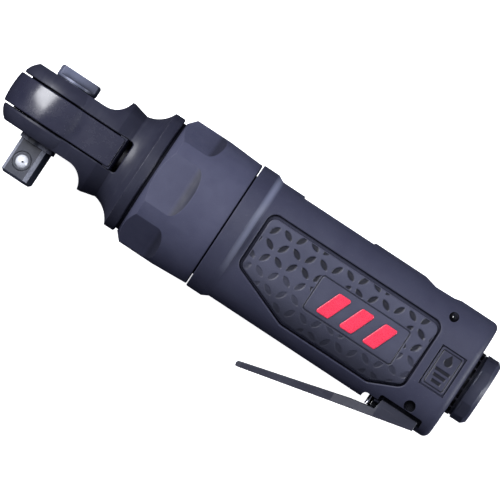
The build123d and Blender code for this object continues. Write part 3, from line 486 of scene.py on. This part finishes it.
def motor_iron():
    """Ground grey iron."""
    return metal("motor_grey_iron", (0.30, 0.30, 0.30), (0.38, 0.38, 0.39), metallic=0.85,
                 rough=0.42, grain_depth=0.015, wear=0.3)


def bushing_bronze():
    """Oil-soaked sintered bronze."""
    return metal("bushing_sintered_bronze", (0.46, 0.27, 0.11), (0.36, 0.20, 0.08),
                 worn=(0.70, 0.45, 0.22), metallic=1.0, rough=0.40, grain_mm=0.18, grain_depth=0.02)


def valve_brass():
    """Turned brass."""
    return metal("valve_turned_brass", (0.66, 0.47, 0.18), (0.56, 0.39, 0.15),
                 worn=(0.80, 0.62, 0.30), metallic=1.0, rough=0.26, stretch=ROUND_FITTING)


def soft(
    name,
    colour,
    shade,
    rough,
    grain_mm,
    grain_depth,
    level=0.35,
    sheen=0.0,
    recess=None,
    dim=None,
):
    """Moulded rubber, plastic, felt or composite: fine cells, clouded colour, no bare metal,
    painted shade in narrow gaps and corners.
    """
    finish = Finish(name)
    clouds = finish.spread(finish.noise(6.0, 4.0), 0.3, 0.7)
    cells = finish.cells(grain_mm)
    fine = finish.noise(grain_mm * 0.6, 3.0)
    worn_spots = finish.spread(finish.noise(2.0, 4.0), 0.4, 0.65)
    rubbed = finish.maths("MULTIPLY", finish.edges(0.4), worn_spots)
    base = finish.blend(clouds, colour, shade)
    light = tuple(min(1.0, value * 1.7 + 0.01) for value in shade)
    # Painted shade: the colour darkens in narrow gaps and corners.
    crevice_shade = finish.crevices(*SOFT_CREVICE_SHADE)
    base = finish.blend(finish.maths("MULTIPLY", rubbed, SOFT_RUBBED), base, light)
    # Sunk places take the recess colour: painted shade in the grip's tread, the black print of the
    # label's signs.
    if recess is not None:
        sunk = finish.add("ShaderNodeAttribute", attribute_name="recess").outputs["Fac"]
        base = finish.blend(finish.maths("MULTIPLY", sunk, RECESS_SHARE), base, recess)
    dark = tuple(value * SOFT_DARK for value in colour)
    # Painted shade: the colour darkens where the dim mask is one.
    if dim is not None:
        base = finish.blend(finish.maths("MULTIPLY", dim(finish), SOFT_SHADE_SHARE), base, dark)
    finish.drive("Base Color", finish.blend(crevice_shade, base, dark))
    finish.drive("Roughness", finish.spread(fine, 0.3, 0.7, rough - 0.08, rough + 0.08))
    height = finish.maths("ADD", cells, finish.maths("MULTIPLY", fine, 0.5))
    finish.drive("Normal", finish.bump(height, grain_depth, finish.rounded(SOFT_ROUNDING)))
    finish.set(Specular_IOR_Level=level, Sheen_Weight=sheen)
    return finish.material


def grip_shade(finish):
    """Painted shade towards the lever's side of the grip."""
    return finish.across("Y", *GRIP_SHADE_Y)


def grip_rubber():
    """Dark moulded grip, with painted shade in its sunk pattern and towards the lever's side."""
    return soft("grip_moulded_rubber", (0.037, 0.039, 0.064), (0.046, 0.048, 0.075), 0.50, 0.35,
                0.03, recess=(0.003, 0.0033, 0.008), dim=grip_shade)


def mark_plate():
    """Label plate in the housing's colour with sunk black signs."""
    return soft("mark_plate", (0.026, 0.027, 0.046), (0.034, 0.035, 0.056), 0.45, 0.30, 0.02,
                recess=(0.003, 0.003, 0.006))


def emblem_red():
    """Glossy red enamel filled into the mark."""
    finish = Finish("emblem_red_enamel")
    clouds = finish.spread(finish.noise(3.0, 4.0), 0.3, 0.7)
    grain = finish.noise(0.25, 3.0)
    edge = finish.edges(0.3)
    base = finish.blend(clouds, (0.60, 0.026, 0.060), (0.68, 0.034, 0.075))
    # Painted highlight: the bars' rounded edges take a lighter red.
    finish.drive("Base Color", finish.blend(edge, base, (0.74, 0.12, 0.16)))
    finish.drive("Roughness", finish.spread(grain, 0.3, 0.7, 0.22, 0.38))
    finish.drive("Normal", finish.bump(grain, 0.006, finish.rounded(0.2)))
    return finish.material


def felt():
    """Grey wool felt."""
    return soft("felt_wool", (0.24, 0.23, 0.21), (0.32, 0.31, 0.28), 0.85, 0.25, 0.08, sheen=0.5)


def vane_composite():
    """Brown resin laminate."""
    return soft("vane_laminate", (0.10, 0.055, 0.03), (0.15, 0.08, 0.04), 0.5, 0.4, 0.03)


def gasket_rubber():
    """Black nitrile sheet."""
    return soft("gasket_nitrile", (0.018, 0.018, 0.018), (0.03, 0.03, 0.03), 0.6, 0.3, 0.03)


def deflector_plastic():
    """Black moulded nylon."""
    return soft("deflector_nylon", (0.018, 0.018, 0.026), (0.028, 0.028, 0.038), 0.45, 0.3, 0.02)


# Each finish is named after the record's material slot.
FINISHES = {
    make.__name__: make()
    for make in (
        head_steel,
        nut_finish,
        housing_finish,
        grip_rubber,
        emblem_red,
        knob_steel,
        drive_steel,
        bright_steel,
        lever_steel,
        inlet_steel,
        gear_steel,
        bushing_bronze,
        motor_iron,
        valve_brass,
        felt,
        vane_composite,
        gasket_rubber,
        deflector_plastic,
    )
}
PIN_FINISH = pin_steel()
OWN_FINISH = {
    "ratchet_yoke": yoke_steel(),
    "drive_ball": ball_steel(),
    "cross_pin": PIN_FINISH,
    "lever_pin": PIN_FINISH,
}


def dress_cad_nodes():
    """Every CAD node gets the procedural finish of its material slot."""
    for name, node in frame["nodes"].items():
        for index, old in enumerate(node.data.materials):
            slot = old.name.split(".")[0]
            node.data.materials[index] = OWN_FINISH.get(name) or FINISHES[slot]


# ---- pieces that follow the grip's curved surface ----
def on_grip(x, y, height, side):
    """Points at a height over the grip's surface, for arrays of x and y."""
    across = np.maximum(np.abs(y) - (GRIP_HALF_Y - GRIP_CORNER), 0.0)
    lean = across / GRIP_CORNER
    upright = np.sqrt(1.0 - lean**2)
    reach = GRIP_CORNER + height
    flat_z = GRIP_HALF_Z - GRIP_CORNER
    z = flat_z + reach * upright
    shifted = y + np.sign(y) * height * lean
    points = np.stack([x, shifted, side * z], axis=-1) * MM
    return points + np.array([DRIVE_X, AXIS_Y, AXIS_Z])


def moved_in(corners, distance):
    """Convex polygon, clockwise or not, with every side moved in by a distance."""
    points = [np.array(p, float) for p in corners]
    centre = sum(points) / len(points)
    lines = []
    for start, end in zip(points, points[1:] + points[:1]):
        along = (end - start) / np.linalg.norm(end - start)
        inward = np.array([-along[1], along[0]])
        if inward @ (centre - start) < 0:
            inward = -inward
        lines.append((start + inward * distance, along))
    result = []
    for (p, a), (q, b) in zip(lines[-1:] + lines[:-1], lines):
        step = np.linalg.solve(np.array([a, -b]).T, q - p)
        result.append(p + a * step[0])
    return result


def rounded_outline(corners, radius):
    """Points round a convex polygon with circular corners."""
    corners = [np.array(p, float) for p in corners]
    outline = []
    count = len(corners)
    for index, corner in enumerate(corners):
        before = corners[index - 1] - corner
        after = corners[(index + 1) % count] - corner
        before /= np.linalg.norm(before)
        after /= np.linalg.norm(after)
        half = math.acos(np.clip(before @ after, -1, 1)) / 2
        middle = (before + after) / np.linalg.norm(before + after)
        centre = corner + middle * radius / math.sin(half)
        first = corner + before * radius / math.tan(half) - centre
        last = corner + after * radius / math.tan(half) - centre
        for step in range(CORNER_STEPS + 1):
            share = step / CORNER_STEPS
            ray = first * (1 - share) + last * share
            outline.append(centre + ray * radius / np.linalg.norm(ray))
    return np.array(outline)


def chains(outline):
    """Lower and upper chain of a convex outline, each with x rising."""
    left, right = outline[:, 0].argmin(), outline[:, 0].argmax()
    rolled = np.roll(outline, -left, axis=0)
    split = (right - left) % len(outline)
    parts = [rolled[: split + 1], np.vstack([rolled[split:], rolled[:1]])[::-1]]
    parts.sort(key=lambda part: part[:, 1].mean())
    return parts


def quads(*corners):
    """Four-sided faces from four arrays of vertex numbers."""
    return [tuple(face) for face in np.stack(corners, -1).reshape(-1, 4)]


def pad_columns(outline, corner, step):
    """Places of a pad's columns along x, with the lowest and highest y of each."""
    lower, upper = chains(outline)
    start, end = outline[:, 0].min(), outline[:, 0].max()
    turn = np.linspace(0, math.pi / 2, END_COLUMNS + 1)[:-1]
    lead = corner * (1 - np.cos(turn))
    inner_start, inner_end = start + corner, end - corner
    inner_count = max(3, int((inner_end - inner_start) / step) + 1)
    inner = np.linspace(inner_start, inner_end, inner_count)
    columns = np.concatenate([start + lead, inner, (end - lead)[::-1]])
    low = np.interp(columns, lower[:, 0], lower[:, 1])
    high = np.interp(columns, upper[:, 0], upper[:, 1])
    # A straight end has several points at the same x, and its column runs between the outer ones.
    straight = [part[np.abs(part[:, 0] - x) < SAME_PLACE][:, 1]
                for part in (lower, upper) for x in (start, end)]
    low[0], low[-1] = straight[0].max(), straight[1].max()
    high[0], high[-1] = straight[2].min(), straight[3].min()
    return columns, low, high


def underside(number, rim, rim_spots, total):
    """Faces under a pad and the points inside its rim.

    The underside has fewer rows than the top, so its end faces take several of the rim's points
    each. number holds the top's vertices, rim the rim's vertex below each of them.
    """
    count_x, count_y = number.shape
    stride = (count_y - 1) // UNDER_ROWS
    under = np.zeros((count_x, UNDER_ROWS + 1), int)
    inside = []
    for i in range(count_x):
        bottom, roof = rim_spots[number[i, 0]], rim_spots[number[i, -1]]
        for j in range(UNDER_ROWS + 1):
            if j in (0, UNDER_ROWS) or i in (0, count_x - 1):
                under[i, j] = rim[number[i, j * stride]]
            else:
                under[i, j] = total + len(inside)
                inside.append(bottom + (roof - bottom) * j / UNDER_ROWS)
    faces = []
    for i in range(count_x - 1):
        for j in range(UNDER_ROWS):
            left = [under[i, j + 1], under[i, j]]
            right = [under[i + 1, j], under[i + 1, j + 1]]
            rim_rows = range(j * stride, (j + 1) * stride + 1)
            if i == 0:
                left = [rim[number[0, k]] for k in reversed(rim_rows)]
            if i == count_x - 2:
                right = [rim[number[-1, k]] for k in rim_rows]
            faces.append(tuple(left + right)[::-1])
    return faces, np.array(inside)


def pad(name, corners, radius, top, foot, edge, step, side, relief=None):
    """Closed pad on the grip: round corners, a rolled upper edge and a patterned top."""
    outline = rounded_outline(moved_in(corners, edge), radius - edge)
    columns, low, high = pad_columns(outline, radius - edge, step)
    rows = UNDER_ROWS * max(1, int((high - low).max() / step / UNDER_ROWS))
    share = np.linspace(0, 1, rows + 1)
    x = np.repeat(columns[:, None], rows + 1, axis=1)
    y = low[:, None] * (1 - share) + high[:, None] * share
    sunk = relief(x, y) if relief is not None else np.zeros_like(x)
    number = np.arange(x.size).reshape(x.shape)
    points = [on_grip(x, y, top - sunk, side).reshape(-1, 3)]
    faces = quads(number[:-1, :-1], number[1:, :-1], number[1:, 1:], number[:-1, 1:])

    # The loop round the top, and the rolled edge down from it.
    loop = np.concatenate([number[:-1, 0], number[-1, :-1], number[:0:-1, -1], number[0, :0:-1]])
    flat = np.stack([x.ravel()[loop], y.ravel()[loop]], -1)
    along = np.roll(flat, -1, axis=0) - np.roll(flat, 1, axis=0)
    out = np.stack([along[:, 1], -along[:, 0]], -1)
    out /= np.linalg.norm(out, axis=1)[:, None]
    levels = [(edge * math.sin(a), top - edge * (1 - math.cos(a)))
              for a in np.linspace(0, math.pi / 2, EDGE_STEPS + 1)[1:]]
    levels.append((edge, foot))
    ring, total = loop, x.size
    for offset, height in levels:
        spot = flat + out * offset
        points.append(on_grip(spot[:, 0], spot[:, 1], height, side))
        fresh = np.arange(len(loop)) + total
        total += len(loop)
        faces += quads(ring, fresh, np.roll(fresh, -1), np.roll(ring, -1))
        ring = fresh

    rim = dict(zip(loop.tolist(), ring.tolist()))
    rim_spots = dict(zip(loop.tolist(), flat + out * edge))
    under_faces, inside = underside(number, rim, rim_spots, total)
    points.append(on_grip(inside[:, 0], inside[:, 1], foot, side))
    faces += under_faces
    if side < 0:
        faces = [face[::-1] for face in faces]
    faces = [tuple(int(vertex) for vertex in face) for face in faces]

    mesh = bpy.data.meshes.new(name)
    mesh.from_pydata(np.vstack(points).tolist(), [], faces)
    mesh.shade_smooth()
    depth = np.zeros(len(mesh.vertices), np.float32)
    if sunk.max() > 0:
        depth[: x.size] = (sunk / sunk.max()).ravel()
    mesh.attributes.new("recess", "FLOAT", "POINT").data.foreach_set("value", depth)
    mesh.update()
    return new_object(name, mesh)


def ramp(value, low, high):
    """Smooth step from 0 at low to 1 at high."""
    share = np.clip((value - low) / (high - low), 0, 1)
    return share * share * (3 - 2 * share)


def frame_distance(x, y, x_range, y_range, corner):
    """Signed distance to a rectangle with round corners."""
    centre_x, centre_y = sum(x_range) / 2, sum(y_range) / 2
    half_x = (x_range[1] - x_range[0]) / 2 - corner
    half_y = (y_range[1] - y_range[0]) / 2 - corner
    over_x, over_y = np.abs(x - centre_x) - half_x, np.abs(y - centre_y) - half_y
    outside = np.hypot(np.maximum(over_x, 0), np.maximum(over_y, 0))
    return outside + np.minimum(np.maximum(over_x, over_y), 0) - corner


def lozenge(x, y):
    """One pointed lozenge lying along x."""
    share = np.clip(x / TREAD_LENGTH + 0.5, 1e-4, 1 - 1e-4)
    half = TREAD_HALF_WIDTH * (4 * share * (1 - share)) ** 0.8
    body = 1 - ramp(np.abs(y), half - TREAD_WALL, half + TREAD_WALL)
    return body * ramp(share, 0.01, 0.06) * (1 - ramp(share, 0.94, 0.99))


def tread(x, y):
    """Plain tread-plate pattern: lozenges on a square grid, each turned across its neighbours."""
    along = (x * math.cos(TREAD_TURN) + y * math.sin(TREAD_TURN)) / TREAD_PITCH
    across = (y * math.cos(TREAD_TURN) - x * math.sin(TREAD_TURN)) / TREAD_PITCH
    column, row = np.round(along), np.round(across)
    near_x, near_y = (along - column) * TREAD_PITCH, (across - row) * TREAD_PITCH
    lean = math.sqrt(0.5)
    first, second = (near_x + near_y) * lean, (near_y - near_x) * lean
    crossed = np.mod(column + row, 2) > 0.5
    return np.where(crossed, lozenge(first, second), lozenge(second, first))


def panel_relief(x, y):
    """Depth of the grip panel's pattern, with a plain name plate in a fine line."""
    plate = frame_distance(x, y, PLATE_X, PLATE_Y, PLATE_CORNER)
    # The pattern grows shallower towards the lever's side, and with it the painted shade in its
    # hollows.
    fade = TREAD_FAINTEST + (1 - TREAD_FAINTEST) * ramp(y, *TREAD_FADE_Y)
    pattern = tread(x, y) * ramp(plate, *TREAD_GAP) * fade
    line = 1 - ramp(np.abs(plate), PLATE_LINE * 0.5, PLATE_LINE)
    return np.maximum(pattern * TREAD_DEPTH, line * PLATE_LINE_DEPTH)


def finish_piece(piece, slot, *replaced, material=None, body="tool_body"):
    """Gives a piece its finish, body and the CAD nodes it stands for."""
    piece.data.materials.append(material or FINISHES[slot])
    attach(piece, body)
    if replaced:
        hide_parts(*replaced)


def make_panels():
    """Grip panels with a rolled edge round the tread plate."""
    low, high = local_box("grip_panel_front")
    left, top = low.x + PANEL_SHADOW, high.y - PANEL_SHADOW
    corners = [
        (left, top),
        (high.x, top),
        (high.x, low.y + PANEL_REAR_CUT[1]),
        (high.x - PANEL_REAR_CUT[0], low.y),
        (low.x + PANEL_FRONT_CUT[0], low.y),
        (left, low.y + PANEL_FRONT_CUT[1]),
    ]
    for side, label in ((1, "front"), (-1, "back")):
        piece = pad(f"grip_{label}", corners, PANEL_CORNER, PANEL_TOP, PANEL_FOOT, PANEL_EDGE,
                    PANEL_STEP, side, panel_relief)
        finish_piece(piece, "grip_rubber", f"grip_panel_{label}")


def make_emblems():
    """Three slanted enamel bars."""
    low, high = local_box("emblem_front")
    pitch = (high.x - low.x - BAR_WIDTH - BAR_SLANT) / (BAR_COUNT - 1)
    for side, label in ((1, "front"), (-1, "back")):
        bars = []
        for index in range(BAR_COUNT):
            left = low.x + index * pitch
            corners = [
                (left, low.y),
                (left + BAR_WIDTH, low.y),
                (left + BAR_WIDTH + BAR_SLANT, high.y),
                (left + BAR_SLANT, high.y),
            ]
            bars.append(pad(f"emblem_{label}_{index}", corners, radius=0.7, top=0.08, foot=-0.3,
                            edge=0.28, step=0.35, side=side))
        with bpy.context.temp_override(active_object=bars[0], selected_editable_objects=bars):
            bpy.ops.object.join()
        bars[0].name = f"emblem_bars_{label}"
        finish_piece(bars[0], "emblem_red", f"emblem_{label}")


def mark_relief(x, y):
    """Oil drop over three stripes in a border, pressed into the label plate."""
    middle_x = (MARK_X[0] + MARK_X[1]) / 2
    body = np.hypot(x - middle_x, y - DROP_Y) - DROP_RADIUS
    rise = np.clip((y - DROP_Y) / DROP_TIP, 0, 1)
    tip = np.abs(x - middle_x) - DROP_RADIUS * (1 - rise) ** 0.8
    far = MARK_X[1] - MARK_X[0]
    tip = np.where((y > DROP_Y) & (y < DROP_Y + DROP_TIP), tip, far)
    shape = 1 - ramp(np.minimum(body, tip), -0.1, 0.12)
    for index in range(STRIPE_COUNT):
        centre_y = STRIPE_TOP - index * STRIPE_PITCH
        half = STRIPE_HALF_LENGTH - STRIPE_TAPER * index
        stripe_x = (middle_x - half, middle_x + half)
        stripe_y = (centre_y - STRIPE_HALF_WIDTH, centre_y + STRIPE_HALF_WIDTH)
        stripe = frame_distance(x, y, stripe_x, stripe_y, STRIPE_CORNER)
        shape = np.maximum(shape, 1 - ramp(stripe, -0.1, 0.1))
    border_x = (MARK_X[0] + BORDER_INSET, MARK_X[1] - BORDER_INSET)
    border_y = (MARK_Y[0] + BORDER_INSET, MARK_Y[1] - BORDER_INSET)
    border = frame_distance(x, y, border_x, border_y, BORDER_CORNER)
    shape = np.maximum(shape, 1 - ramp(np.abs(border), *BORDER_LINE))
    return shape * MARK_DEPTH


def make_marks():
    """Service label plates in the housing's recesses."""
    (left, right), (low, high) = MARK_X, MARK_Y
    corners = [(left, low), (right, low), (right, high), (left, high)]
    plate = mark_plate()
    for side, label in ((1, "front"), (-1, "back")):
        piece = pad(f"service_mark_{label}", corners, radius=0.9, top=-0.22, foot=-0.5, edge=0.12,
                    step=0.12, side=side, relief=mark_relief)
        finish_piece(piece, "grip_rubber", material=plate)


# ---- springs, each carried by a moving body ----
def coil(name, foot, along, length, radius, turns):
    """Round-wire compression spring with a closed turn at each end."""
    side = along.orthogonal().normalized()
    across = along.cross(side)
    closed_pitch = 2 * SPRING_WIRE
    open_pitch = (length - 2 * SPRING_WIRE - CLOSED_TURNS * closed_pitch) / turns
    rings = (turns + CLOSED_TURNS) * COIL_STEPS + 1
    points, faces = [], []
    for index in range(rings):
        turn = index / COIL_STEPS
        closed_turns = min(turn, 1.0) + max(turn - 1 - turns, 0.0)
        open_turns = min(max(turn - 1, 0.0), turns)
        height = SPRING_WIRE + closed_pitch * closed_turns + open_pitch * open_turns
        outward = side * math.cos(math.tau * turn) + across * math.sin(math.tau * turn)
        centre = along * height + outward * radius
        for step in range(WIRE_STEPS):
            swing = math.tau * step / WIRE_STEPS
            point = centre + (outward * math.cos(swing) + along * math.sin(swing)) * SPRING_WIRE
            points.append(foot + point * MM)
    for ring in range(0, (rings - 1) * WIRE_STEPS, WIRE_STEPS):
        for step in range(WIRE_STEPS):
            here, beside = ring + step, ring + (step + 1) % WIRE_STEPS
            faces.append((here, here + WIRE_STEPS, beside + WIRE_STEPS, beside))
    last = (rings - 1) * WIRE_STEPS
    faces.append(tuple(range(WIRE_STEPS)))
    faces.append(tuple(last + step for step in reversed(range(WIRE_STEPS))))
    mesh = bpy.data.meshes.new(name)
    mesh.from_pydata(points, [], faces)
    mesh.polygons.foreach_set("use_smooth", [len(face) == 4 for face in faces])
    mesh.update()
    return new_object(name, mesh)


def make_springs():
    """The valve's spring and the detent ball's, each laid along its own joint's axis and carried by
    its body.
    """
    for name, joint, body, sign, radius, turns in (
        ("valve", "valve_lift", "valve", 1, 1.9, 5),
        ("drive_ball", "drive_ball_press", "anvil", -1, 1.5, 3),
    ):
        low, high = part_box(f"{name}_spring")
        along = Vector(JOINTS[joint]["axis"]).normalized() * sign
        # the box of a leaning spring is larger than the spring by this much, measured along it
        lean = 4 * (radius + SPRING_WIRE) * abs(along.x * along.z)
        length = (high - low).dot(Vector([abs(part) for part in along])) / MM - lean
        foot = (low + high) / 2 - along * length * MM / 2
        piece = coil(f"{name}_coil", foot, along, length, radius, turns)
        finish_piece(piece, "bright_steel", f"{name}_spring", body=body)
        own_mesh(piece)


# ---- stage ----
def make_floor():
    """Plain white table top."""
    mesh = bpy.data.meshes.new("floor")
    corners = [(x * FLOOR_HALF, y * FLOOR_HALF, 0) for x, y in ((-1, -1), (1, -1), (1, 1), (-1, 1))]
    mesh.from_pydata(corners, [], [(0, 1, 2, 3)])
    floor = new_object("floor", mesh)
    floor.location.z = -FLOOR_DROP
    finish = Finish("floor_white")
    grain = finish.noise(3.0, 2.0)
    finish.drive("Base Color", finish.blend(grain, (0.86, 0.86, 0.86), (0.90, 0.90, 0.90)))
    finish.set(Roughness=0.8, Emission_Color=(1, 1, 1, 1), Emission_Strength=0.9)
    mesh.materials.append(finish.material)
    floor.visible_glossy = False
    floor.visible_diffuse = False


def make_world():
    """Dim bluish studio, dark below the table."""
    world = bpy.data.worlds.new("studio")
    world.use_nodes = True
    tree = world.node_tree
    background = tree.nodes["Background"]
    place = tree.nodes.new("ShaderNodeTexCoord")
    split = tree.nodes.new("ShaderNodeSeparateXYZ")
    height = tree.nodes.new("ShaderNodeMapRange")
    height.inputs["From Min"].default_value = HORIZON_LOW
    height.inputs["From Max"].default_value = HORIZON_HIGH
    mix = tree.nodes.new("ShaderNodeMix")
    mix.data_type = "RGBA"
    mix.inputs["A"].default_value = (0.010, 0.010, 0.014, 1.0)
    mix.inputs["B"].default_value = (0.235, 0.245, 0.31, 1.0)
    tree.links.new(place.outputs["Generated"], split.inputs["Vector"])
    tree.links.new(split.outputs["Z"], height.inputs["Value"])
    tree.links.new(height.outputs["Result"], mix.inputs["Factor"])
    colour = next(s for s in mix.outputs if s.type == "RGBA")
    tree.links.new(colour, background.inputs["Color"])
    bpy.context.scene.world = world


def soft_box(name, tilt, turn, distance, size, radiance, colour):
    """Area light aimed at the tool: tilt from overhead, turned about Z from +X."""
    light = bpy.data.lights.new(name, "AREA")
    light.shape = "RECTANGLE"
    light.size, light.size_y = size
    light.energy = radiance * math.pi * size[0] * size[1]
    light.color = colour
    lamp = new_object(name, light)
    target = Vector((DRIVE_X + LAMP_TARGET_X, AXIS_Y, AXIS_Z))
    tilt, turn = math.radians(tilt), math.radians(turn)
    level = math.sin(tilt)
    away = Vector((level * math.cos(turn), level * math.sin(turn), math.cos(tilt)))
    lamp.location = target + away * distance
    lamp.rotation_mode = "QUATERNION"
    lamp.rotation_quaternion = away.to_track_quat("Z", "Y")
    return lamp


def make_lights():
    """A broad key over the head, two low lights behind the tail and a weak overhead fill."""
    soft_box("key", tilt=47, turn=157, distance=1.0, size=(0.66, 0.70), radiance=12.5,
             colour=(0.95, 0.96, 1.0))
    soft_box("tail", tilt=79, turn=10, distance=0.9, size=(0.40, 0.30), radiance=16.0,
             colour=(0.92, 0.95, 1.0))
    soft_box("edge", tilt=60, turn=4, distance=1.0, size=(0.30, 0.30), radiance=11.0,
             colour=(0.92, 0.95, 1.0))
    overhead = soft_box("overhead", tilt=28, turn=90, distance=1.3, size=(0.60, 0.60), radiance=3.0,
                        colour=(0.90, 0.92, 1.0))
    overhead.visible_glossy = False


def make_camera():
    """Straight above the tool, rolled so that the tool lies across the picture."""
    camera = bpy.data.cameras.new("camera")
    camera.lens = camera.sensor_width * CAMERA_DISTANCE / FRAME_WIDTH
    camera.clip_end = 50.0
    holder = new_object("camera", camera)
    holder.location = (CAMERA_X, CAMERA_Y, AXIS_Z + CAMERA_DISTANCE)
    holder.rotation_euler = (0, 0, CAMERA_ROLL)
    bpy.context.scene.camera = holder


def set_picture():
    """Plain colours with no film curve."""
    settings = bpy.context.scene.view_settings
    settings.view_transform = "Standard"
    settings.look = "None"


dress_cad_nodes()
make_panels()
make_emblems()
make_marks()
make_springs()
make_floor()
make_world()
make_lights()
make_camera()
set_picture()
